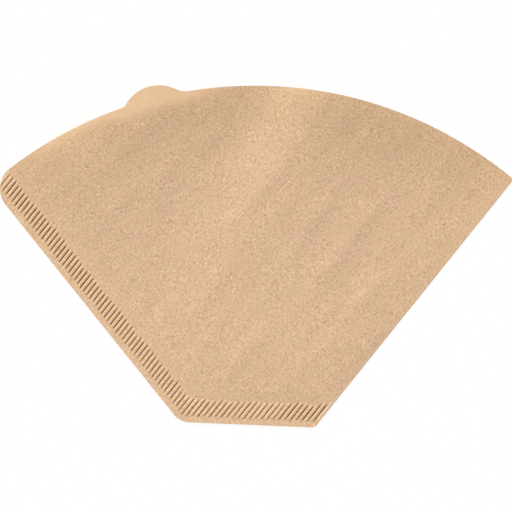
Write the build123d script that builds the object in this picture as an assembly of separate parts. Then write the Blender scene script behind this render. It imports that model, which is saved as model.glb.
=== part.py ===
from build123d import *
import os
from math import cos, exp, radians, sin

# Cone coffee filter: one fan of paper, folded in half and closed by a crimped seam.
# It lies flat with the mouth towards +Y, the seam on the left and the fold on the right,
# and its mouth has sprung open a little. Lengths are in millimetres and angles in degrees.

# Paper
paper_thickness = 0.2
crease_gap = 0.1  # air left between the two plies where they are pressed together

# Outline of one ply, between its corners as they are before rounding
bottom_width = 43.4
bottom_slope = 2.4  # the bottom falls towards the fold
side_lean = 38.74  # of the seam side and of the fold, from the centre line
seam_length = 97.9
fold_length = 102.5
mouth_radius = 130.4
mouth_corner_radius = 7.7  # mouth to seam
seam_corner_radius = 6.6  # seam to bottom
fold_corner_radius = 2.5  # bottom to fold

# Thumb tab on the mouth of the upper ply
tab_radius = 12.1
tab_rise = 4.1  # how far it stands proud of the mouth
tab_lean = 14.6  # from the middle of the mouth towards the seam
tab_root_radius = 5.0

# Crimp along the seam side and the bottom
crimp_margin = 1.9  # plain paper outside the crimp
crimp_width = 5.3
crimp_pitch = 1.5
groove_width = 0.5
groove_depth = 0.2

# Pocket, whose upper ply arches up from the fold to the seam side, with a soft ripple down it
mouth_gap = 6.0  # between the plies at the crest of the arch, level with the top of the mouth
ripple_height = 2.0
ripple_spread = 12.5
ripple_offset = 18.4  # from the middle of the mouth towards the fold
crowd_length = 4.5  # of the bottom beside the seam, towards which the ripple leans
mouth_overrun = 3.0  # the plies are shaped this far past the mouth, then cut back to it
mouth_steps = 32  # the curve of the mouth is drawn in this many steps

pressed_thickness = 2 * paper_thickness + crease_gap
seam_depth = crimp_margin + crimp_width
clear_height = 4 * (mouth_gap + ripple_height)  # well above all the paper

# Directions in the flat: along each edge, and square to it into the paper
seam_up = Vector(-sin(radians(side_lean)), cos(radians(side_lean)))
seam_in = Vector(cos(radians(side_lean)), sin(radians(side_lean)))
fold_up = Vector(sin(radians(side_lean)), cos(radians(side_lean)))
fold_in = Vector(-cos(radians(side_lean)), sin(radians(side_lean)))
bottom_along = Vector(cos(radians(bottom_slope)), -sin(radians(bottom_slope)))
bottom_in = Vector(sin(radians(bottom_slope)), cos(radians(bottom_slope)))

# Corners of the flat outline, with the foot of the seam at the origin
seam_foot = Vector(0, 0)
fold_foot = seam_foot + bottom_along * bottom_width
seam_top = seam_foot + seam_up * seam_length
fold_top = fold_foot + fold_up * fold_length
mouth_arc = RadiusArc(seam_top, fold_top, mouth_radius)
mouth_centre = mouth_arc.arc_center
mouth_top = mouth_centre.Y + mouth_radius
tab_toward = Vector(-sin(radians(tab_lean)), cos(radians(tab_lean)))
tab_centre = mouth_centre + tab_toward * (mouth_radius + tab_rise - tab_radius)
tab_top = tab_centre.Y + tab_radius
reach = (seam_top - fold_foot).dot(fold_in)  # from the fold to the far corner
arch_crest = 0.25 ** (1 / 3)  # share of the way from the fold to the seam where the arch is highest


def seam_inset(depth):
    """The corner where the lines at this depth in from the seam side and the bottom cross"""
    return seam_foot + (seam_in + bottom_in) * (depth / (1 + seam_in.dot(bottom_in)))


def meet_fold(start, along, depth):
    """Where a line from start meets the line at this depth in from the fold"""
    away = (start - fold_foot).dot(fold_in) - depth
    return start - along * (away / along.dot(fold_in))


def climb(start, along, height):
    """The point of a line from start that lies at this Y"""
    return start + along * ((height - start.Y) / along.Y)


def round_corner(sheet, corner, radius):
    """Round the corner of a flat outline that lies nearest to a point"""
    return fillet(sheet.vertices().sort_by_distance(corner)[0], radius)


def lower_outline():
    """The flat outline of the lower ply, which has no tab"""
    edges = [
        Line(seam_foot, fold_foot),
        Line(fold_foot, fold_top),
        mouth_arc,
        Line(seam_top, seam_foot),
    ]
    sheet = make_face(edges)
    sheet = round_corner(sheet, seam_top, mouth_corner_radius)
    sheet = round_corner(sheet, seam_foot, seam_corner_radius)
    return round_corner(sheet, fold_foot, fold_corner_radius)


def upper_outline(lower):
    """The lower ply's outline with the thumb tab added to its mouth"""
    sheet = lower + Pos(tab_centre) * Circle(tab_radius)
    roots = sheet.vertices().sort_by_distance(tab_centre)[:2]
    return fillet(roots, tab_root_radius)


def pocket_corners():
    """The flat corners of the pocket, which runs past the mouth: two at the foot, two at the top"""
    top = max(tab_top, mouth_top) + mouth_overrun
    low_seam = seam_inset(seam_depth)
    low_fold = meet_fold(low_seam, bottom_along, paper_thickness)
    return low_seam, low_fold, climb(low_fold, fold_up, top), climb(low_seam, seam_up, top)


def arch(share):
    """Rise of the upper ply at this share of the way from the fold to the seam, steady at first"""
    return share - share**4


def mouth_curve(height):
    """The curve of the upper ply past its mouth, from the seam to the fold, with the ripple in it"""
    low_seam, _, high_fold, high_seam = pocket_corners()
    mouth_share = (mouth_top - low_seam.Y) / (high_seam.Y - low_seam.Y)
    crown = mouth_gap / (mouth_share * arch(arch_crest))
    across = high_fold - high_seam
    shares = [step / mouth_steps for step in range(mouth_steps + 1)]
    points = []
    for share in shares:
        from_ripple = (share - 0.5) * across.length - ripple_offset
        ripple = ripple_height * exp(-((from_ripple / ripple_spread) ** 2))
        rise = height + crown * arch(1 - share) + ripple
        points.append(high_seam + across * share + Vector(0, 0, rise))
    return Edge.make_spline(points, parameters=shares)


def sprung_surface(height):
    """The upper ply's raised surface, at this height where it leaves the seam and the fold

    Its lines from the bottom to the mouth are straight, as those of bent paper are, and at the
    bottom they crowd towards the seam, which leans the ripple that way.
    """
    low_seam, low_fold, _, _ = pocket_corners()
    crowd = [low_seam + bottom_along * (crowd_length * half / 2) for half in range(3)]
    lift = Vector(0, 0, height)
    foot = Edge.make_bezier(*[point + lift for point in crowd + [low_fold]])
    return Face.make_surface_from_curves(foot, mouth_curve(height))


def space_under(height, floor):
    """The space between a level floor and the sprung surface at this height"""
    column = extrude(sprung_surface(height), clear_height, dir=(0, 0, -1))
    pocket = make_face(Polyline(*pocket_corners(), close=True))
    return column & extrude(Pos(Z=floor) * pocket, clear_height)


def pressed_seam():
    """The two plies pressed together along the seam side and the bottom, left wide outside"""
    low_seam, low_fold, high_fold, high_seam = pocket_corners()
    outside = seam_inset(-seam_depth)
    strip = Polyline(
        outside,
        meet_fold(outside, bottom_along, paper_thickness),
        low_fold,
        low_seam,
        high_seam,
        climb(outside, seam_up, high_seam.Y),
        close=True,
    )
    return extrude(make_face(strip), pressed_thickness)


def fold_bend():
    """The bend of the paper along the fold, from below the bottom to past the mouth"""
    low = fold_foot - fold_up * seam_depth
    length = (pocket_corners()[2] - low).dot(fold_up)
    upper_middle = pressed_thickness - paper_thickness
    section = [
        CenterArc((paper_thickness, paper_thickness), paper_thickness, 180, 90),
        Line((paper_thickness, 0), (paper_thickness, pressed_thickness)),
        CenterArc((paper_thickness, upper_middle), paper_thickness, 90, 90),
        Line((0, upper_middle), (0, paper_thickness)),
    ]
    across = Plane(origin=low, x_dir=fold_in, z_dir=fold_up)
    return extrude(across * make_face(section), length)


def crimp_band():
    """The strip that the crimp covers, along the seam side and the bottom"""
    outer = seam_inset(crimp_margin)
    inner = seam_inset(seam_depth)
    run = 2 * reach
    strip = Polyline(
        outer,
        outer + bottom_along * run,
        inner + bottom_along * run,
        inner,
        inner + seam_up * run,
        outer + seam_up * run,
        close=True,
    )
    return extrude(make_face(strip), clear_height, both=True)


def groove(from_fold, face, into):
    """One long V groove, parallel to the fold, pressed up or down into a face at this height"""
    across = Plane(origin=fold_foot - fold_up * reach, x_dir=fold_in, z_dir=fold_up)
    section = Polyline(
        (from_fold, face + into * groove_depth),
        (from_fold - groove_width, face - into * groove_depth),
        (from_fold + groove_width, face - into * groove_depth),
        close=True,
    )
    return extrude(across * make_face(section), 3 * reach)


def crimp_grooves():
    """All the grooves of the crimp: from above and, half a pitch on, from below"""
    lines = [crimp_pitch * count for count in range(1, int(reach / crimp_pitch) + 1)]
    above = [groove(line, pressed_thickness, -1) for line in lines]
    below = [groove(line + crimp_pitch / 2, 0, 1) for line in lines]
    return crimp_band() & Compound(children=above + below)


def coffee_filter():
    """The whole folded sheet"""
    lower = lower_outline()
    upper = upper_outline(lower)
    paper = pressed_seam() + space_under(pressed_thickness, 0) + fold_bend()
    paper &= extrude(upper, clear_height)
    paper -= space_under(paper_thickness + crease_gap, paper_thickness)
    paper -= extrude(upper - lower, paper_thickness + crease_gap / 2)
    return paper - crimp_grooves()


sheet = coffee_filter()
middle = sheet.bounding_box().center()
sheet = Pos(-middle.X, -middle.Y) * sheet

os.makedirs("parts", exist_ok=True)
export_step(sheet, "parts/filter_paper.step")
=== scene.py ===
# %% [markdown]
# # A brown paper coffee filter, lying flat
# The real filter is one fan of unbleached paper. It is folded in half, so that it has an upper and
# a lower ply with a sharp fold on the right. Its left side and its bottom are closed by a crimp, a
# row of short grooves that presses the fibres of both plies into each other with no glue. This
# lesson cuts the fan flat, scores the crimp, folds the sheet and lets its mouth spring open. The
# solid model comes in first, as the frame that everything else has to fit.

# %% Load the frame
import math

import bpy
import numpy as np
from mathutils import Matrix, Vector, noise


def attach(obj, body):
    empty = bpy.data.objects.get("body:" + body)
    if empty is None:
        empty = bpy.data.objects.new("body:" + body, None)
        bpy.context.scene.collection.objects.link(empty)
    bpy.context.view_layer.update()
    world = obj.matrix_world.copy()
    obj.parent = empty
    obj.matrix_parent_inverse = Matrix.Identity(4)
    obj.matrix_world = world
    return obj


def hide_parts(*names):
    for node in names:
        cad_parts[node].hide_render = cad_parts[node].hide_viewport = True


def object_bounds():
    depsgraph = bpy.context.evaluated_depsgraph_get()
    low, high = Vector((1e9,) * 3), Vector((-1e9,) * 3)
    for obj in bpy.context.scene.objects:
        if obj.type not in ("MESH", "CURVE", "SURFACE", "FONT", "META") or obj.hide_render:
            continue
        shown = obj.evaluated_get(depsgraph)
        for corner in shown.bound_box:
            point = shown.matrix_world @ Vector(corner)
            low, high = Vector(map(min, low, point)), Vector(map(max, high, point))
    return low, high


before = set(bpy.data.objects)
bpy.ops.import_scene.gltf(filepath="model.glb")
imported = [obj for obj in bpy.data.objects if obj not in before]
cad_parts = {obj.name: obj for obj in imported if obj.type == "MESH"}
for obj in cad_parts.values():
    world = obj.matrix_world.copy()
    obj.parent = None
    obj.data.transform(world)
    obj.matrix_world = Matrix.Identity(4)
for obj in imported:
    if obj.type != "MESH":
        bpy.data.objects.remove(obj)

mm = 0.001
cad_low, cad_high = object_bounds()
print("solid model, mm:", [round(side / mm, 2) for side in cad_high - cad_low])

# %% [markdown]
# ## The camera
# The photograph looks straight down, and the filter just fills its width. A very long lens far
# above the paper keeps the flat edges and the raised mouth at the same scale. A short lens close to
# it would make the mouth look larger than it is.

# %% Look straight down
picture_width = 164.9 * mm
picture_middle = (-0.13 * mm, 0.12 * mm)
camera_height = 4.0
sight_limit = 100.0
bpy.ops.object.select_all(action="DESELECT")
bpy.ops.object.camera_add(location=(*picture_middle, camera_height), rotation=(0, 0, 0))
camera = bpy.context.object
camera.name = "overhead_camera"
camera.data.lens = camera.data.sensor_width * camera_height / picture_width
camera.data.clip_end = sight_limit
bpy.context.scene.camera = camera
print("lens, mm:", round(camera.data.lens, 1))

# %% [markdown]
# ## Where the fan lies
# The outline of a ply is a few lengths and angles: two leaning sides, a bottom that falls a little
# towards the fold, and a mouth that is one arc. They are the sizes of the solid model, and the fan
# is then moved so that its right corner and the top of its tab touch the frame's box.

# %% The outline of one ply
side_lean = math.radians(38.74)
bottom_slope = math.radians(2.4)
bottom_width = 43.4 * mm
seam_length = 97.9 * mm
fold_length = 102.5 * mm
mouth_radius = 130.4 * mm
tab_radius = 12.1 * mm
tab_rise = 4.1 * mm
tab_lean = math.radians(-14.6)


def heading(angle):
    """The flat direction at this angle, clockwise from the way to the mouth"""
    return np.array((math.sin(angle), math.cos(angle)))


quarter = math.pi / 2
seam_up, seam_in = heading(-side_lean), heading(quarter - side_lean)
fold_up, fold_in = heading(side_lean), heading(side_lean - quarter)
bottom_along, bottom_in = heading(quarter + bottom_slope), heading(bottom_slope)

seam_foot = np.zeros(2)
fold_foot = seam_foot + bottom_along * bottom_width
seam_top = seam_foot + seam_up * seam_length
fold_top = fold_foot + fold_up * fold_length
chord = fold_top - seam_top
chord_normal = np.array((chord[1], -chord[0])) / np.linalg.norm(chord)
chord_distance = math.sqrt(mouth_radius**2 - chord @ chord / 4)
mouth_centre = (seam_top + fold_top) / 2 + chord_normal * chord_distance
tab_reach = mouth_radius + tab_rise - tab_radius
tab_centre = mouth_centre + heading(tab_lean) * tab_reach
into_box = np.array((cad_high.x - fold_top[0], cad_high.y - tab_centre[1] - tab_radius))
for corner in (seam_foot, fold_foot, seam_top, fold_top, mouth_centre, tab_centre):
    corner += into_box
print("foot of the seam, mm:", np.round(seam_foot / mm, 2))
print("centre of the mouth's arc, mm:", np.round(mouth_centre / mm, 2))

# %% [markdown]
# A few small helpers serve all that follows. They measure how far points lie in from a straight
# edge, find the point at given distances from two edges, and read and move the vertices of a piece.
# One goes into edit mode with vertices, edges or faces selected by their place, because there is no
# mouse to click on them.

# %% Measure and select
def inset(points, start, inward):
    """How far points lie in from the edge through start"""
    return (np.asarray(points)[..., :2] - start) @ inward


def meet(start_a, inward_a, inset_a, start_b, inward_b, inset_b):
    """The point that lies this far in from each of two edges"""
    far = (inward_a @ start_a + inset_a, inward_b @ start_b + inset_b)
    return np.linalg.solve((inward_a, inward_b), far)


def read_points(piece):
    """The places of a piece's vertices"""
    points = np.empty(3 * len(piece.data.vertices), np.float32)
    piece.data.vertices.foreach_get("co", points)
    return points.reshape(-1, 3).astype(float)


def write_points(piece, points):
    """Move a piece's vertices"""
    piece.data.vertices.foreach_set("co", np.asarray(points, np.float32).ravel())
    piece.data.update()


def edit(piece, domain, chosen):
    """Go into edit mode with only the chosen vertices, edges or polygons selected"""
    domains = ("vertices", "edges", "polygons")
    for name in domains:
        elements = getattr(piece.data, name)
        flags = chosen if name == domain else np.zeros(len(elements), bool)
        elements.foreach_set("select", flags)
    bpy.context.scene.tool_settings.mesh_select_mode = [name == domain for name in domains]
    bpy.ops.object.mode_set(mode="EDIT")


def leave():
    """Go back to object mode"""
    bpy.ops.object.mode_set(mode="OBJECT")


# %% [markdown]
# ## One flat ply
# A filter maker starts with flat paper, and so does this mesh: a plane whose four corners go to
# the corners of the fan, with a little to spare at the left of the mouth. Straight cuts then mark
# strips along the seam side and the bottom, for the crimp. Only what is left inside them is divided
# into a fine grid, so that the strips stay long and empty until the grooves are scored across them.

# %% Lay out the fan
paper_thickness = 0.2 * mm
crease_gap = 0.1 * mm
bend_radius = (paper_thickness + crease_gap) / 2
fold_inset = paper_thickness / 2 + bend_radius
spare = 3.0 * mm

bpy.ops.object.select_all(action="DESELECT")
bpy.ops.mesh.primitive_plane_add(size=1, location=(0, 0, 0))
upper = bpy.context.object
upper.name = "folded_filter_sheet"
bend_foot = meet(fold_foot, fold_in, fold_inset, seam_foot, bottom_in, 0)
bend_top = bend_foot + fold_up * fold_length
top_left = seam_top + seam_up * spare
corners = read_points(upper)
on_right = corners[:, 0] > 0
at_top = corners[:, 1] > 0
corners[~on_right & ~at_top, :2] = seam_foot
corners[on_right & ~at_top, :2] = bend_foot
corners[~on_right & at_top, :2] = top_left
corners[on_right & at_top, :2] = bend_top
write_points(upper, corners)
print("plane, mm:", np.round(np.ptp(corners, axis=0) / mm, 2))

# %% Mark the strips of the crimp
strip_insets = [step * mm for step in (1.0, 1.6, 1.9, 2.3, 3.4, 4.6, 5.8, 6.6, 7.0, 7.4, 7.8, 8.4)]
panel_inset = strip_insets[-1]
fine = 0.0001 * mm  # what lies closer than this to a cut counts as on it


def cut(start, across, trim=False):
    """Cut all visible faces along the line through start, and trim off what lies beyond if asked"""
    bpy.ops.mesh.select_all(action="SELECT")
    bpy.ops.mesh.bisect(plane_co=(*start, 0), plane_no=(*across, 0), clear_outer=trim, threshold=fine)


edit(upper, "polygons", np.ones(1, bool))
for inward in (seam_in, bottom_in):
    for step in strip_insets:
        cut(seam_foot + inward * step, inward)
leave()
print("strip faces:", len(upper.data.polygons))

# %% Divide the panel
panel_cuts = 100


def face_middles(piece):
    """The middle of each face of a piece"""
    middles = np.empty(3 * len(piece.data.polygons), np.float32)
    piece.data.polygons.foreach_get("center", middles)
    return middles.reshape(-1, 3).astype(float)


def in_panel(places):
    """Which places lie inside the strips of the crimp"""
    from_seam = inset(places, seam_foot, seam_in)
    from_bottom = inset(places, seam_foot, bottom_in)
    return np.minimum(from_seam, from_bottom) > panel_inset - fine


edit(upper, "polygons", in_panel(face_middles(upper)))
bpy.ops.mesh.subdivide(number_cuts=panel_cuts)
leave()
print("faces with the panel divided:", len(upper.data.polygons))

# %% [markdown]
# The grid still has a straight top. Each of its columns is a straight line from the bottom to the
# mouth, so a column is moved by giving it a new end on the mouth's arc. To know which column a
# vertex belongs to, a share between 0 at the seam and 1 at the fold is narrowed down by halving:
# the vertex is on the left or on the right of the line at the middle share. The same helper later
# finds the straight lines of the sprung paper. The columns are spaced so that one ends at each root
# of the tab, which is a corner of the rim, and the rows are crowded towards the rim.

# %% Find a column
halvings = 40


def share_across(points, foot, head):
    """The share whose straight line, from foot(share) to head(share), passes through each point"""
    low, high = np.zeros(len(points)), np.ones(len(points))
    for _ in range(halvings):
        middle = (low + high) / 2
        start = foot(middle)
        run, off = head(middle) - start, points - start
        on_left = run[:, 0] * off[:, 1] > run[:, 1] * off[:, 0]
        high = np.where(on_left, middle, high)
        low = np.where(on_left, low, middle)
    return (low + high) / 2


def between(first, last):
    """The straight row of points from first to last, by share"""
    return lambda share: first + np.outer(share, last - first)


# %% Where the columns end on the mouth
def reach_mouth(start, along):
    """Where the line from start reaches the arc of the mouth"""
    off = start - mouth_centre
    ahead = off @ along
    return start + along * (math.sqrt(ahead**2 - off @ off + mouth_radius**2) - ahead)


low_seam = meet(seam_foot, seam_in, panel_inset, seam_foot, bottom_in, panel_inset)
low_fold = meet(fold_foot, fold_in, fold_inset, seam_foot, bottom_in, panel_inset)
end_seam = reach_mouth(low_seam, seam_up)
end_fold = reach_mouth(low_fold, fold_up)
first_angle, last_angle = (math.atan2(*(end - mouth_centre)) for end in (end_seam, end_fold))
root_turn = math.acos((mouth_radius**2 + tab_reach**2 - tab_radius**2) / (2 * mouth_radius * tab_reach))
roots = np.array((tab_lean - root_turn, tab_lean + root_turn))
columns = panel_cuts + 1
root_columns = np.rint((roots - first_angle) / (last_angle - first_angle) * columns) / columns
print("columns at the roots of the tab:", np.rint(root_columns * columns))

# %% Bend the top of the grid to the mouth's arc
rim_crowding = 0.45
top_edge = bend_top - top_left
top_normal = np.array((-top_edge[1], top_edge[0])) / np.linalg.norm(top_edge)
high_seam = meet(seam_foot, seam_in, panel_inset, top_left, top_normal, 0)
bottom_row = between(low_seam, low_fold)
top_row = between(high_seam, bend_top)

points = read_points(upper)
panel = in_panel(points)
flat = points[panel, :2]
column = share_across(flat, bottom_row, top_row)
foot = bottom_row(column)
row = np.linalg.norm(flat - foot, axis=1) / np.linalg.norm(top_row(column) - foot, axis=1)
row = row + rim_crowding * row * (1 - row)
angle = np.interp(column, (0, *root_columns, 1), (first_angle, *roots, last_angle))
mouth_end = mouth_centre + mouth_radius * np.column_stack((np.sin(angle), np.cos(angle)))
points[panel, :2] = foot + (mouth_end - foot) * row[:, None]

strip_ends = ~panel & (np.abs(inset(points, top_left, top_normal)) < fine)
from_panel = panel_inset - inset(points[strip_ends], seam_foot, seam_in)
points[strip_ends, :2] = end_seam - np.outer(from_panel, seam_in) + seam_up * spare / 2
write_points(upper, points)
print("panel vertices:", int(panel.sum()), "ends of strips:", int(strip_ends.sum()))

# %% [markdown]
# ## The crimp's score lines
# The grooves of the crimp run parallel to the fold, right across both strips. On the real filter a
# pair of toothed wheels presses them. In the mesh, straight cuts give each groove its bottom, its
# two walls and its two shoulders. The panel is hidden meanwhile, so that the cuts stay in the strips.

# %% Score the grooves
groove_pitch = 1.5 * mm
groove_half_width = 0.29 * mm
score_shares = (-1.0, -0.5, 0.0, 0.5, 1.0)
groove_count = int(inset(seam_top, fold_foot, fold_in) / groove_pitch)

edit(upper, "polygons", in_panel(face_middles(upper)))
bpy.ops.mesh.hide(unselected=False)
for number in range(1, groove_count + 1):
    for share in score_shares:
        from_fold = number * groove_pitch + share * groove_half_width
        cut(fold_foot + fold_in * from_fold, fold_in)
bpy.ops.mesh.reveal(select=False)
leave()
print("grooves:", groove_count, "faces:", len(upper.data.polygons))

# %% [markdown]
# ## Fold line and rounded corners
# The paper turns round at the fold in a very small bend. This ply's half of that bend is drawn out
# from its edge, in steps of equal turn. The corners are rounded as scissors would do it, with many
# straight snips along tangents of the corner's circle. The corner at the left of the mouth is a
# little rounder than in the solid model, as the photograph shows it.

# %% Draw out the bend
bend_steps = 3
near = 0.001 * mm  # what lies closer than this to the fold counts as on it
points = read_points(upper)
ends = np.empty(2 * len(upper.data.edges), np.int32)
upper.data.edges.foreach_get("vertices", ends)
on_fold = np.abs(inset(points, fold_foot, fold_in) - fold_inset) < near
edit(upper, "edges", on_fold[ends.reshape(-1, 2)].all(axis=1))
for step in range(bend_steps):
    here = math.sin(quarter * step / bend_steps)
    there = math.sin(quarter * (step + 1) / bend_steps)
    move = -fold_in * bend_radius * (there - here)
    bpy.ops.mesh.extrude_region_move(TRANSFORM_OT_translate={"value": (*move, 0)})
leave()
print("vertices along the fold:", int(on_fold.sum()))

# %% Round the corners
mouth_corner_radius = 8.3 * mm
seam_corner_radius = 6.6 * mm
fold_corner_radius = 2.5 * mm
snips = 10


def round_corner(piece, centre, radius, first, last):
    """Snip a corner of flat paper round, from one outward direction to another"""
    begin, end = (math.atan2(*way) for way in (first, last))
    turn = (end - begin + math.pi) % (2 * math.pi) - math.pi
    edit(piece, "polygons", np.ones(len(piece.data.polygons), bool))
    for snip in range(snips):
        outward = heading(begin + turn * (snip + 0.5) / snips)
        cut(centre + outward * radius, outward, trim=True)
    leave()


foot_centre = meet(seam_foot, seam_in, seam_corner_radius, seam_foot, bottom_in, seam_corner_radius)
round_corner(upper, foot_centre, seam_corner_radius, -seam_in, -bottom_in)
fold_centre = meet(fold_foot, fold_in, fold_corner_radius, seam_foot, bottom_in, fold_corner_radius)
round_corner(upper, fold_centre, fold_corner_radius, -bottom_in, -fold_in)
along_seam = seam_foot + seam_in * mouth_corner_radius
ahead = (mouth_centre - along_seam) @ seam_up
side = (mouth_centre - along_seam) @ seam_in
top_centre = along_seam + seam_up * (ahead + math.sqrt((mouth_radius - mouth_corner_radius) ** 2 - side**2))
round_corner(upper, top_centre, mouth_corner_radius, top_centre - mouth_centre, -seam_in)
print("faces with round corners:", len(upper.data.polygons))

# %% [markdown]
# Where a cut passes close to a vertex it leaves a tiny edge, and where the fine grid meets the scored
# strips a face has many corners in a row. Merging the close vertices and cutting up those faces
# leaves a clean sheet. The bend stays out of the merge, because its rows lie close together.

# %% Clean the flat ply
merge_distance = 0.08 * mm
edit(upper, "vertices", inset(read_points(upper), fold_foot, fold_in) > fold_inset - fine)
bpy.ops.mesh.remove_doubles(threshold=merge_distance)
leave()
corner_counts = np.empty(len(upper.data.polygons), np.int32)
upper.data.polygons.foreach_get("loop_total", corner_counts)
edit(upper, "polygons", corner_counts > 4)
bpy.ops.mesh.quads_convert_to_tris(ngon_method="BEAUTY")
bpy.ops.mesh.select_all(action="SELECT")
bpy.ops.mesh.normals_make_consistent(inside=False)
leave()
print("flat ply:", len(upper.data.vertices), "vertices,", len(upper.data.polygons), "faces")

# %% [markdown]
# ## The lower ply and the thumb tab
# The lower ply is the mirror half of the same fan, so folded over it covers the upper one and has
# the same outline. It is a copy, turned face down. Only the upper ply has the small round tab by
# which the mouth is opened. Its rim is pushed out to the tab's outline, and the paper behind it
# follows less and less, as if the tab had been cut with the rest.

# %% Copy the lower ply
bpy.ops.object.select_all(action="DESELECT")
upper.select_set(True)
bpy.context.view_layer.objects.active = upper
bpy.ops.object.duplicate()
lower = bpy.context.object
lower.name = "lower_ply"
edit(lower, "polygons", np.ones(len(lower.data.polygons), bool))
bpy.ops.mesh.flip_normals()
leave()
print("lower ply:", len(lower.data.polygons), "faces")

# %% Push out the tab
left_root_radius = 1.2 * mm
right_root_radius = 7.0 * mm
tab_blend = 16.0 * mm


def rim_radius(angle):
    """How far the rim lies from the mouth's centre, with the tab and its two rounded roots"""
    off_axis = np.abs(angle - tab_lean)
    root_radius = np.where(angle < tab_lean, left_root_radius, right_root_radius)
    root_reach = mouth_radius + root_radius
    span = tab_radius + root_radius
    root_angle = np.arccos((root_reach**2 + tab_reach**2 - span**2) / (2 * root_reach * tab_reach))
    touch_side = root_reach * np.sin(root_angle) * tab_radius / span
    touch_up = tab_reach + (root_reach * np.cos(root_angle) - tab_reach) * tab_radius / span
    touch_angle = np.arctan2(touch_side, touch_up)
    on_tab = np.minimum(off_axis, touch_angle)
    tab_rim = tab_reach * np.cos(on_tab) + np.sqrt(tab_radius**2 - (tab_reach * np.sin(on_tab)) ** 2)
    on_root = np.clip(off_axis, touch_angle, root_angle) - root_angle
    root_rim = root_reach * np.cos(on_root) - np.sqrt(root_radius**2 - (root_reach * np.sin(on_root)) ** 2)
    beside_tab = np.where(off_axis < root_angle, root_rim, mouth_radius)
    return np.where(off_axis < touch_angle, tab_rim, beside_tab)


def polar(points):
    """Angle and distance of points from the mouth's centre"""
    off = points[:, :2] - mouth_centre
    return np.arctan2(off[:, 0], off[:, 1]), np.linalg.norm(off, axis=1)


points = read_points(upper)
angle, distance = polar(points)
follow = np.clip(1 - (mouth_radius - distance) / tab_blend, 0, 1)
push = (rim_radius(angle) - mouth_radius) * follow**2
points[:, :2] += push[:, None] * (points[:, :2] - mouth_centre) / distance[:, None]
write_points(upper, points)
print("tab stands out, mm:", round(push.max() / mm, 2))

# %% [markdown]
# ## How the paper lies
# A folded filter never lies quite flat. The fold stays shut, but the upper ply arches up between it
# and the seam, and its mouth gapes. Paper bends in one direction at a time, so the arch is made of
# straight lines that run from the bottom to the mouth. Heights are worked out for each vertex from
# its place. A cloth simulation could also lift the sheet, but stiff paper keeps the form that its
# folds gave it, and that form is read from the light in the photograph.

# %% The arch of the upper ply
mouth_gap = 2.7 * mm
crowd_length = 4.5 * mm
mouth_overrun = 3.0 * mm
seam_depth = 7.2 * mm
pocket_foot = meet(seam_foot, seam_in, seam_depth, seam_foot, bottom_in, seam_depth)
pocket_fold = meet(fold_foot, fold_in, paper_thickness, seam_foot, bottom_in, seam_depth)
pocket_top = cad_high.y + mouth_overrun
pocket_high_fold = pocket_fold + fold_up * (pocket_top - pocket_fold[1]) / fold_up[1]
pocket_high_seam = pocket_foot + seam_up * (pocket_top - pocket_foot[1]) / seam_up[1]
arch_crest = 0.25 ** (1 / 3)  # where share - share**4 is highest


def pocket_bottom(share):
    """The foot of each straight line of the arch, on a cubic curve that is crowded towards the seam"""
    width = np.linalg.norm(pocket_fold - pocket_foot)
    along = 1.5 * crowd_length * share * (1 - share) * (1 + share) + width * share**3
    return pocket_foot + np.outer(along, bottom_along)


def arch_rise(share):
    """Rise at this share of the way from the fold to the seam, steady at first, highest at the crest"""
    return share - share**4


def arch_height(flat):
    """Rise of the upper ply before any ripple, and the share of the way up at which each point lies"""
    top = between(pocket_high_seam, pocket_high_fold)
    share = share_across(flat, pocket_bottom, top)
    start = pocket_bottom(share)
    run = top(share) - start
    up = np.clip(np.sum((flat - start) * run, axis=1) / np.sum(run * run, axis=1), 0, None)
    mouth_share = (mouth_centre[1] + mouth_radius - pocket_foot[1]) / (pocket_top - pocket_foot[1])
    crown = mouth_gap / (mouth_share * arch_rise(arch_crest))
    return crown * arch_rise(1 - share) * up, up


points = read_points(upper)
flat = points[:, :2]
arch, up = arch_height(flat)
print("arch rises, mm:", round(arch.max() / mm, 2))

# %% [markdown]
# Over the arch go the things that the light shows. Soft ripples lean from the mouth towards the seam
# and die out at the bottom. There is a low puff just inside the bottom and a faint dent beside the
# middle of the seam. A few short creases lie parallel to the fold, the way the paper ran through the
# machine. Last comes the rim, which flares up, and on the left rolls over again at its edge and its
# tab. All of them are built from the same few soft curves.

# %% Soft curves
def smooth(low, high, value):
    """0 below low, 1 above high, and a soft step between"""
    share = np.clip((value - low) / (high - low), 0, 1)
    return share * share * (3 - 2 * share)


def hump(value, middle, spread):
    """A soft hump of height 1"""
    return np.exp(-(((value - middle) / spread) ** 2))


def swell(value, reach):
    """A slope that climbs from 0 to its top of 1 at this reach and slowly sinks again"""
    share = np.maximum(value, 0) / reach
    return share * np.exp(1 - share)


def settle(value, reach):
    """A slope that climbs from 0 and settles at 1, most of the way at this reach"""
    return 1 - np.exp(-np.maximum(value, 0) / reach)


def free_paper(flat, seam_reach, fold_reach):
    """0 where the plies are held together at the seam and the fold, 1 this far from both"""
    from_seam = smooth(0, seam_reach, inset(flat, seam_foot, seam_in) - seam_depth)
    return from_seam * smooth(0, fold_reach, inset(flat, fold_foot, fold_in))


# %% Ripples
ripple_heading = math.radians(27.8)
ripple_fade = 2.1
ripple_seam_reach = 18.0 * mm
ripple_fold_reach = 12.0 * mm
ripples = (  # place across the ripples, height at the mouth and spread, all in mm
    (-56.5, 3.0, 24.0),
    (-20.2, -0.9, 8.5),
    (-4.5, 3.0, 15.6),
    (18.0, 3.0, 22.0),
    (41.6, 0.4, 6.0),
)


def ripple_height(flat, up):
    """The soft ripples, which fade from the mouth down to the bottom"""
    across = flat @ heading(ripple_heading + quarter)
    height = sum(rise * mm * hump(across, offset * mm, spread * mm) for offset, rise, spread in ripples)
    return height * up**ripple_fade * free_paper(flat, ripple_seam_reach, ripple_fold_reach)


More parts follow.
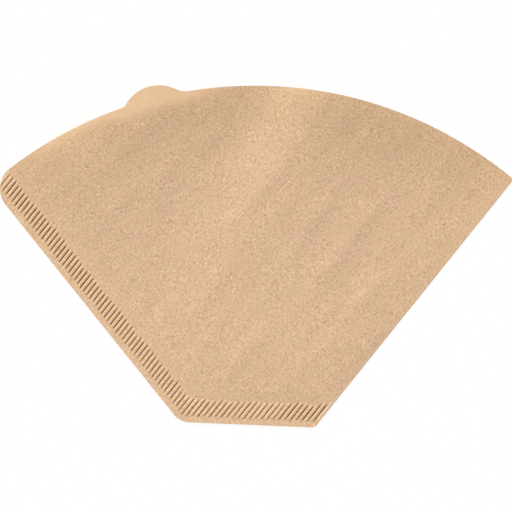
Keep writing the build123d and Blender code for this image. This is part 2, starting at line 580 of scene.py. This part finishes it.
rippled = ripple_height(flat, up)
print("ripples, mm:", round(rippled.min() / mm, 2), "to", round(rippled.max() / mm, 2))

# %% Puff and dent
puff = 1.5 * mm
puff_bottom_reach = 13.4 * mm
puff_seam_reach = 46.0 * mm
puff_fold_reach = 6.5 * mm
dent = 0.5 * mm
dent_place = 40.0 * mm
dent_spread = 24.0 * mm
dent_reach = 10.0 * mm


def puff_height(flat):
    """The low puff just inside the bottom, which leans towards the fold"""
    from_bottom = swell(inset(flat, seam_foot, bottom_in) - seam_depth, puff_bottom_reach)
    from_seam = settle(inset(flat, seam_foot, seam_in) - seam_depth, puff_seam_reach)
    from_fold = settle(inset(flat, fold_foot, fold_in) - fold_inset, puff_fold_reach)
    return puff * from_bottom * from_seam * from_fold


def dent_depth(flat):
    """How far the crimp holds the paper down beside the middle of the seam"""
    along = (flat - seam_foot) @ seam_up
    from_seam = swell(inset(flat, seam_foot, seam_in) - seam_depth, dent_reach)
    return dent * hump(along, dent_place, dent_spread) * from_seam


puffed = puff_height(flat)
dented = dent_depth(flat)
print("puff, mm:", round(puffed.max() / mm, 2), "dent, mm:", round(dented.max() / mm, 2))

# %% Creases
creases = (  # place across the creases, both ends along them and height, all in mm
    (-39.5, -12, 14, 0.25),
    (-12.0, 8, 36, 0.20),
    (6.0, 8, 34, 0.22),
    (17.0, -40, -12, 0.20),
    (20.5, 0, 48, 0.28),
    (36.5, 0, 28, 0.20),
)
crease_spread = 3.4
crease_taper = 12


def crease_height(flat):
    """The short creases that lie parallel to the fold"""
    across = flat @ heading(side_lean + quarter) / mm
    along = flat @ heading(side_lean) / mm
    height = 0
    for offset, start, end, rise in creases:
        length = smooth(start, start + crease_taper, along) * (1 - smooth(end - crease_taper, end, along))
        height = height + rise * mm * hump(across, offset, crease_spread) * length
    return height


creased = crease_height(flat)
print("creases, mm:", round(creased.max() / mm, 2))

# %% Rim and tab
flare = 1.05 * mm
left_flare_width = 16.0 * mm
right_flare_width = 12.0 * mm
flare_seam_reach = 18.0 * mm
curl_slope = 0.21
curl_width = 1.5 * mm
tab_curl_width = 7.1 * mm
tab_curl_spread = math.radians(4.6)
curl_softness = 1.0 * mm
curl_seam_reach = 14.0 * mm
rim_fold_reach = 30.0 * mm
curl_full = math.radians(-9)
curl_end = math.radians(-2)


def roll_over(flat):
    """The share of roll, 1 on the left half of the mouth, and how far points lie past its bend"""
    angle, distance = polar(flat)
    left = 1 - smooth(curl_full, curl_end, angle)
    width = curl_width + (tab_curl_width - curl_width) * hump(angle, tab_lean, tab_curl_spread)
    return left, width - (rim_radius(angle) - distance)


def rim_height(flat):
    """How the rim flares up, and on the left half rolls over again at the edge and the tab"""
    left, past = roll_over(flat)
    flare_width = right_flare_width + (left_flare_width - right_flare_width) * left
    lift = flare * hump(np.maximum(mouth_radius - polar(flat)[1], 0), 0, flare_width)
    curl = curl_slope * (past + np.sqrt(past**2 + curl_softness**2)) / 2 * left
    lift = lift * free_paper(flat, flare_seam_reach, rim_fold_reach)
    return lift - curl * free_paper(flat, curl_seam_reach, rim_fold_reach)


rim = rim_height(flat)
print("rim, mm:", round(rim.min() / mm, 2), "to", round(rim.max() / mm, 2))

# %% [markdown]
# ## The grooves
# A groove is narrow and sharp, and between two grooves the paper stands up in a flat ridge. The
# wheels press hardest near both ends of the row, and more lightly again on the last few grooves, at
# the corner of the mouth. No two grooves are quite alike: each is a little deeper or shallower, and
# ends a little sooner or later. A fixed seed keeps the draw the same at every run.

# %% Shape of the crimp
crimp_margin = 2.15 * mm
groove_depth = 0.12 * mm
groove_fullness = 2.0
start_fade = 0.3 * mm
end_fade = 0.4 * mm
fold_fade = (0.4 * mm, 0.9 * mm)
pressed_at = (0, 5, 9, 13, 16, 40, 60, 78, 83, 85)
pressure = (0.96, 0.93, 0.80, 0.80, 0.86, 0.88, 0.96, 1.00, 1.00, 0.70)
pressure_loss = 0.09
end_scatter = 0.25 * mm
start_scatter = end_scatter / 2
seed = 11

numbers = np.arange(groove_count + 2)
draw = np.random.default_rng(seed)
groove_strength = np.interp(numbers, pressed_at, pressure) - draw.uniform(0, pressure_loss, len(numbers))
groove_end = seam_depth + draw.normal(0, 1, len(numbers)) * end_scatter
groove_start = crimp_margin + draw.normal(0, 1, len(numbers)) * start_scatter
print("pressure of the grooves:", round(groove_strength.min(), 2), "to", round(groove_strength.max(), 2))


def crimp(points):
    """How deep each point lies in a groove, from 0 to 1, and how much of the ridge height it has"""
    from_edge = np.minimum(inset(points, seam_foot, seam_in), inset(points, seam_foot, bottom_in))
    from_fold = inset(points, fold_foot, fold_in)
    number = np.clip(np.rint(from_fold / groove_pitch).astype(int), 1, groove_count)
    off = np.abs(from_fold - number * groove_pitch)
    end, start = groove_end[number], groove_start[number]
    band = smooth(start - start_fade, start + start_fade, from_edge)
    band = band * (1 - smooth(end - end_fade, end + end_fade, from_edge))
    band = band * smooth(*fold_fade, from_fold)
    groove = np.clip(groove_fullness * (1 - off / groove_half_width), 0, 1)
    return groove * groove_strength[number] * band, band


groove, band = crimp(points)
print("deepest groove, mm:", round(groove_depth * groove.max() / mm, 3))

# %% [markdown]
# ## Cockle and bend
# Paper dries unevenly on the machine, which leaves faint waves in all of it. Soft noise that is
# stretched along the fold gives them. At the fold each ply follows a quarter of a circle, so that
# the two together turn right round.

# %% Cockle and bend
cockle_width = 4.0 * mm
cockle_length = 16.0 * mm
noise_level = 0.5
fold_middle = paper_thickness / 2 + bend_radius


def cockle(flat, height):
    """Faint waves of this height, parallel to the fold"""
    across = flat @ heading(side_lean + quarter) / cockle_width
    along = flat @ heading(side_lean) / cockle_length
    return height * np.array([noise.noise(Vector((*spot, noise_level))) for spot in zip(across, along)])


def bend_height(points):
    """How far a ply stands from the middle of the fold's bend"""
    past = np.clip(fold_inset - inset(points, fold_foot, fold_in), 0, bend_radius)
    return np.sqrt(bend_radius**2 - past**2)


# %% [markdown]
# Now both plies get their heights. The lower ply has the same vertices in the same order, so the
# crimp that was worked out for the upper one serves for both, and their grooves lie in each other.
# The crimp and the fold hold the plies together, and only the paper between them is uneven.

# %% Press both plies into shape
upper_cockle = 0.13 * mm
lower_cockle = 0.06 * mm
lower_lift = 0.06 * mm
held_reach = 10.0 * mm

pressed = groove_depth * (band - groove)
from_bottom = inset(flat, seam_foot, bottom_in) - seam_depth
opened = free_paper(flat, held_reach, held_reach) * smooth(0, held_reach, from_bottom)
uneven = creased + cockle(flat, upper_cockle)
raised = arch + rippled + puffed - dented + rim + uneven * opened
points[:, 2] = fold_middle + bend_height(points) + pressed + raised
write_points(upper, points)
print("upper ply reaches, mm:", round(points[:, 2].max() / mm, 2))

points = read_points(lower)
uneven = lower_lift + cockle(points[:, :2], lower_cockle)
points[:, 2] = fold_middle - bend_height(points) + pressed + uneven * opened
write_points(lower, points)
print("lower ply reaches, mm:", round(points[:, 2].max() / mm, 2))

# %% [markdown]
# ## Join, weld and thicken
# Both plies end at the same row of vertices, the crest of the fold, so once they are one mesh these
# can be merged. The result is one open sheet, as the paper is before it gets its thickness.
# Solidify then gives it both faces and the cut edges all round.

# %% One folded sheet
weld_distance = 0.01 * mm
edge_angle = math.radians(50)

bpy.ops.object.select_all(action="DESELECT")
lower.select_set(True)
upper.select_set(True)
bpy.context.view_layer.objects.active = upper
bpy.ops.object.join()
sheet = upper
crest = inset(read_points(sheet), fold_foot, fold_in) < paper_thickness / 2 + near
edit(sheet, "vertices", crest)
bpy.ops.mesh.remove_doubles(threshold=weld_distance)
leave()
print("crest vertices:", int(crest.sum()), "before the weld")

thicken = sheet.modifiers.new("paper_thickness", "SOLIDIFY")
thicken.thickness = paper_thickness
thicken.offset = 0
bpy.ops.object.modifier_apply(modifier=thicken.name)
bpy.ops.object.shade_smooth_by_angle(angle=edge_angle)

triangles = sum(len(face.vertices) - 2 for face in sheet.data.polygons)
print("sheet:", len(sheet.data.polygons), "faces,", triangles, "triangles")

# %% [markdown]
# Three values on the vertices tell the paper's finish where it is. The first says how deep a point
# lies in a groove of the crimp, where painted shade deepens the brown of the pressed fibres, as a
# narrow groove gets little light. It goes below 0 where painted light makes the paper paler: on the
# ridges, along the edge beside them and on the bend of the fold, which would otherwise fall into
# shade. The second says how far out it lies on the rolled rim and the tab, where the light hides most
# of the grain. The third says how near it lies to the rim and the other edges, where the paper is
# tinted yellower.

# %% Values for the finish
# groove_darkness deepens the grooves with painted shade besides the pressed fibres' brown; the ridge, edge
# and fold paleness are painted light
groove_darkness = 1.57
ridge_paleness = 0.42
edge_paleness = 0.042
fold_paleness = 0.35
fold_light_spread = 0.6 * mm
roll_fade = (-2.5 * mm, 1.0 * mm)
tint_reach = 14.0 * mm
side_tint = 0.4


def paint(piece, name, values):
    """Keep a value for each vertex of a piece under a name"""
    kept = piece.data.attributes.new(name, "FLOAT", "POINT")
    kept.data.foreach_set("value", np.asarray(values, np.float32))


points = read_points(sheet)
from_edge = np.minimum(inset(points, seam_foot, seam_in), inset(points, seam_foot, bottom_in))
from_fold = inset(points, fold_foot, fold_in)
groove, band = crimp(points)
# Painted light: the ridges, the edge beside them and the fold's bend are made paler
painted_light = np.maximum(ridge_paleness * band, edge_paleness * (from_edge < crimp_margin))
painted_light = np.maximum(painted_light, fold_paleness * hump(from_fold, 0, fold_light_spread))
paint(sheet, "crimp", groove_darkness * groove - painted_light)

left, past = roll_over(points)
rolled = left * smooth(*roll_fade, past)
paint(sheet, "rolled", rolled)

# A yellower tint near the rim, and more weakly near the other edges
angle, distance = polar(points)
from_rim = np.maximum(rim_radius(angle) - distance, 0)
from_side = np.maximum(np.minimum(from_edge, from_fold), 0)
rim_and_edge_tint = np.maximum(np.exp(-from_rim / tint_reach), side_tint * np.exp(-from_side / tint_reach))
paint(sheet, "rim_and_edge_tint", rim_and_edge_tint)
print("vertices in grooves:", int((groove > 0.5).sum()), "on the rolled rim:", int((rolled > 0.5).sum()))

# %% [markdown]
# ## Shader maths
# A finish is easier to read as a formula than as a picture of wires. A small class wraps a socket,
# so that sums and products of sockets add their own Math nodes, and one method adds any other node.

# %% A finish and its values
class Value:
    """What one socket of a finish gives, ready for sums"""

    def __init__(self, finish, socket):
        self.finish = finish
        self.socket = socket

    def _math(self, operation, first, second):
        """Add a Math node"""
        sockets = {"Value": first, "Value_001": second}
        return self.finish.node("ShaderNodeMath", {"operation": operation}, sockets)

    def __add__(self, other):
        return self._math("ADD", self, other)

    def __radd__(self, other):
        return self._math("ADD", other, self)

    def __sub__(self, other):
        return self._math("SUBTRACT", self, other)

    def __rsub__(self, other):
        return self._math("SUBTRACT", other, self)

    def __mul__(self, other):
        return self._math("MULTIPLY", self, other)

    def __rmul__(self, other):
        return self._math("MULTIPLY", other, self)

    def above(self, least):
        """This value, or the least where it would be lower"""
        return self._math("MAXIMUM", self, least)

    def below(self, most):
        """This value, or the most where it would be higher"""
        return self._math("MINIMUM", self, most)


class Finish:
    """A node tree that is filled by name"""

    def __init__(self, tree):
        self.tree = tree
        self.tree.nodes.clear()

    def node(self, kind, settings, sockets, output=0):
        """Add a node with its settings and sockets, and give one of its outputs"""
        made = self.tree.nodes.new(kind)
        for name, setting in settings.items():
            setattr(made, name, setting)
        for name, value in sockets.items():
            socket = next(entry for entry in made.inputs if entry.identifier == name)
            if isinstance(value, Value):
                self.tree.links.new(value.socket, socket)
            else:
                socket.default_value = value
        if not made.outputs:
            return None
        by_name = {socket.identifier: socket for socket in made.outputs}
        return Value(self, by_name[output] if isinstance(output, str) else made.outputs[output])


# %% [markdown]
# ## Unbleached filter paper
# The paper is a felt of short brown fibres, some darker and some lighter. From a step away that
# gives a fine grain about half a millimetre across, stronger in some patches than in others, with a
# few stray fibres that stand out, some rosy and some yellow clouds and a few dark specks of bark.
# The grain is made from two noises that are stretched in two directions, because fibres have a
# length. A cubic curve brings out the stray fibres, the dark ones a little more than the light
# ones. The grain also lifts the surface in a Bump node.

# %% Fibres, clouds and mixing
fibres_per_metre = 1650
fibre_stretch = (1.4, 0.75, 1)
fibre_roughness = 0.6
cloud_roughness = 0.5
noise_detail = 2

paper_material = bpy.data.materials.new("unbleached_filter_paper")
paper_material.use_nodes = True
paper = Finish(paper_material.node_tree)
place = paper.node("ShaderNodeTexCoord", {}, {}, "Object")


def soft_noise(where, scale, roughness):
    """Noise with about this many clouds in a metre"""
    sockets = {"Vector": where, "Scale": scale, "Detail": noise_detail, "Roughness": roughness}
    return paper.node("ShaderNodeTexNoise", {}, sockets)


def fibres(turn):
    """Fine noise that is stretched along fibres lying at this angle"""
    sockets = {"Vector": place, "Rotation": (0, 0, turn), "Scale": fibre_stretch}
    laid = paper.node("ShaderNodeMapping", {"vector_type": "TEXTURE"}, sockets)
    return soft_noise(laid, fibres_per_metre, fibre_roughness)


def painted(name):
    """A value that is kept on the vertices under a name"""
    return paper.node("ShaderNodeAttribute", {"attribute_name": name}, {}, "Fac")


def blend(share, first, second):
    """Mix two colours"""
    sockets = {"Factor_Float": share, "A_Color": first, "B_Color": second}
    return paper.node("ShaderNodeMix", {"data_type": "RGBA"}, sockets, "Result_Color")


def tint(colour, by):
    """Multiply two colours"""
    sockets = {"Vector": colour, "Vector_001": by}
    return paper.node("ShaderNodeVectorMath", {"operation": "MULTIPLY"}, sockets, "Vector")


print("finish:", paper_material.name)

# %% Colour of the felt
first_turn = 0.7
second_turn = 2.3
even_grain = 0.82
stray_grain = 22.0
darker_grain = 1.0
grain_contrast = 2.8
least_contrast = 0.4
patch_contrast = 1.2
rolled_calm = 0.65
paper_lightness = 0.525
patch_lightness = 0.1
patches_per_metre = 160
tints_per_metre = 230
dark_fibre = (0.526, 0.331, 0.190, 1)
light_fibre = (0.884, 0.615, 0.405, 1)
rosy = (1.02, 0.99, 1.05, 1)
yellow = (0.98, 1.01, 0.95, 1)
untinted = (1.0, 1.0, 1.0, 1)
yellower = (1.0, 0.985, 0.92, 1)

crimped = painted("crimp")
patches = soft_noise(place, patches_per_metre, cloud_roughness)
grain = 0.5 * fibres(first_turn) + 0.5 * fibres(second_turn) - 0.5
stray_fibres = grain * (even_grain + grain * (stray_grain * grain - darker_grain))
contrast = grain_contrast * (least_contrast + patch_contrast * patches)
contrast = contrast * (1.0 - rolled_calm * painted("rolled"))
lightness = paper_lightness + stray_fibres * contrast + patch_lightness * (patches - 0.5)
# Painted light: paler ridges, edge and fold's bend, where the crimp value goes below 0
lightness = lightness - crimped.below(0.0)
clouds = blend(soft_noise(place, tints_per_metre, cloud_roughness), rosy, yellow)
felt_colour = tint(blend(lightness, dark_fibre, light_fibre), clouds)
# Yellower towards the rim and the edges
felt_colour = tint(felt_colour, blend(painted("rim_and_edge_tint"), untinted, yellower))
print("nodes for the felt:", len(paper_material.node_tree.nodes))

# %% [markdown]
# The specks are the middles of Voronoi cells, which spreads them over the whole sheet. In the crimp
# the fibres are pressed together and darker, and painted shade deepens the grooves to a warmer brown,
# as a narrow groove gets little light. The ridges between them are painted a little lighter, as
# raised paper that catches the light. The felt is dull, and its grain also makes the roughness uneven.

# %% Specks, grooves and surface
speck_radius = 0.35 * mm
specks_per_metre = 45
speck_darkness = 0.6
bark = (0.20, 0.10, 0.05, 1)
# The grooves' brown and warmth are partly the pressed fibres' own colour and partly painted shade
groove_brown_and_shade = (0.12, 0.03, 0.0, 1)
groove_warmth_and_shade = (1.0, 0.9, 0.45, 1)
felt_strength = 0.5
felt_height = 0.1 * mm
dullness = 0.87
uneven_dullness = 0.15
sheen = 0.2

cells = {"Vector": place, "Scale": specks_per_metre}
to_speck = paper.node("ShaderNodeTexVoronoi", {"voronoi_dimensions": "2D"}, cells, "Distance")
speck = (1.0 - to_speck * (1 / (speck_radius * specks_per_metre))).above(0.0)
speckled = blend(speck_darkness * speck, felt_colour, bark)
# Painted shade: the grooves get a dark, warmer brown, for the pressed fibres and for the little light in
# their narrow hollows
pressed_and_shaded = crimped.above(0.0)
colour = tint(blend(pressed_and_shaded, speckled, groove_brown_and_shade), blend(pressed_and_shaded, untinted, groove_warmth_and_shade))

lifted = {"Height": grain, "Strength": felt_strength, "Distance": felt_height}
felt = paper.node("ShaderNodeBump", {}, lifted, "Normal")
look = {
    "Base Color": colour,
    "Roughness": dullness + uneven_dullness * grain,
    "Specular IOR Level": sheen,
    "Normal": felt,
}
surface = paper.node("ShaderNodeBsdfPrincipled", {}, look, "BSDF")
paper.node("ShaderNodeOutputMaterial", {}, {"Surface": surface})
sheet.data.materials.clear()
sheet.data.materials.append(paper_material)
print("paper nodes:", len(paper_material.node_tree.nodes))

# %% [markdown]
# ## Floor, world and light
# The filter lies on plain white, and hardly a shadow shows. The floor mostly glows for the camera,
# which keeps it white with only a faint shadow of the paper. The world is white to the camera too,
# and gives the paper a softer light from all round. One broad low lamp, beyond the mouth, brings out
# the ripples.

# %% White floor
floor_size = 20.0
floor_drop = 0.02 * mm
glow_share = 0.92
plain_white = (1, 1, 1, 1)
floor_white = (0.95, 0.95, 0.95, 1)

bpy.ops.object.select_all(action="DESELECT")
bpy.ops.mesh.primitive_plane_add(size=floor_size, location=(0, 0, -floor_drop))
floor = bpy.context.object
floor.name = "white_floor"
floor_material = bpy.data.materials.new("white_floor")
floor_material.use_nodes = True
white = Finish(floor_material.node_tree)


def seen(finish):
    """1 for what the camera sees, straight or by a mirror or glass, and 0 for other light"""
    straight = finish.node("ShaderNodeLightPath", {}, {}, "Is Camera Ray")
    mirrored = finish.node("ShaderNodeLightPath", {}, {}, "Is Glossy Ray")
    through = finish.node("ShaderNodeLightPath", {}, {}, "Is Transmission Ray")
    return (straight + mirrored + through).below(1.0)


def mix_shaders(finish, share, first, second):
    """Mix two surfaces or backgrounds of a finish"""
    return finish.node("ShaderNodeMixShader", {}, {"Fac": share, "Shader": first, "Shader_001": second})


matte = white.node("ShaderNodeBsdfDiffuse", {}, {"Color": floor_white})
glow = white.node("ShaderNodeEmission", {}, {"Color": plain_white, "Strength": 1.0})
glowing = mix_shaders(white, glow_share * seen(white), matte, glow)
white.node("ShaderNodeOutputMaterial", {}, {"Surface": glowing})
floor.data.materials.append(floor_material)
print("floor nodes:", len(floor_material.node_tree.nodes))

# %% World and lamp
room_level = 0.42
lamp_level = 0.6
lamp_azimuth = math.radians(112)
lamp_height = math.radians(33)
lamp_breadth = math.radians(25)

world = bpy.data.worlds.new("white_room")
bpy.context.scene.world = world
world.use_nodes = True
room = Finish(world.node_tree)
soft = room.node("ShaderNodeBackground", {}, {"Color": plain_white, "Strength": room_level})
backdrop = room.node("ShaderNodeBackground", {}, {"Color": plain_white, "Strength": 1.0})
room.node("ShaderNodeOutputWorld", {}, {"Surface": mix_shaders(room, seen(room), soft, backdrop)})

lamp_way = Vector((
    math.cos(lamp_azimuth) * math.cos(lamp_height),
    math.sin(lamp_azimuth) * math.cos(lamp_height),
    math.sin(lamp_height),
))
bpy.ops.object.light_add(type="SUN", location=lamp_way)
lamp = bpy.context.object
lamp.name = "broad_lamp"
lamp.rotation_euler = lamp_way.to_track_quat("Z", "Y").to_euler()
lamp.data.angle = lamp_breadth
lamp.data.energy = math.pi * lamp_level / math.sin(lamp_height)
bpy.context.scene.view_settings.view_transform = "Standard"
print("lamp, W/m2:", round(lamp.data.energy, 2))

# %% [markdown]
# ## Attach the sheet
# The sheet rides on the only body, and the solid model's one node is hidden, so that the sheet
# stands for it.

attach(sheet, "root")
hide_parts("filter_paper")
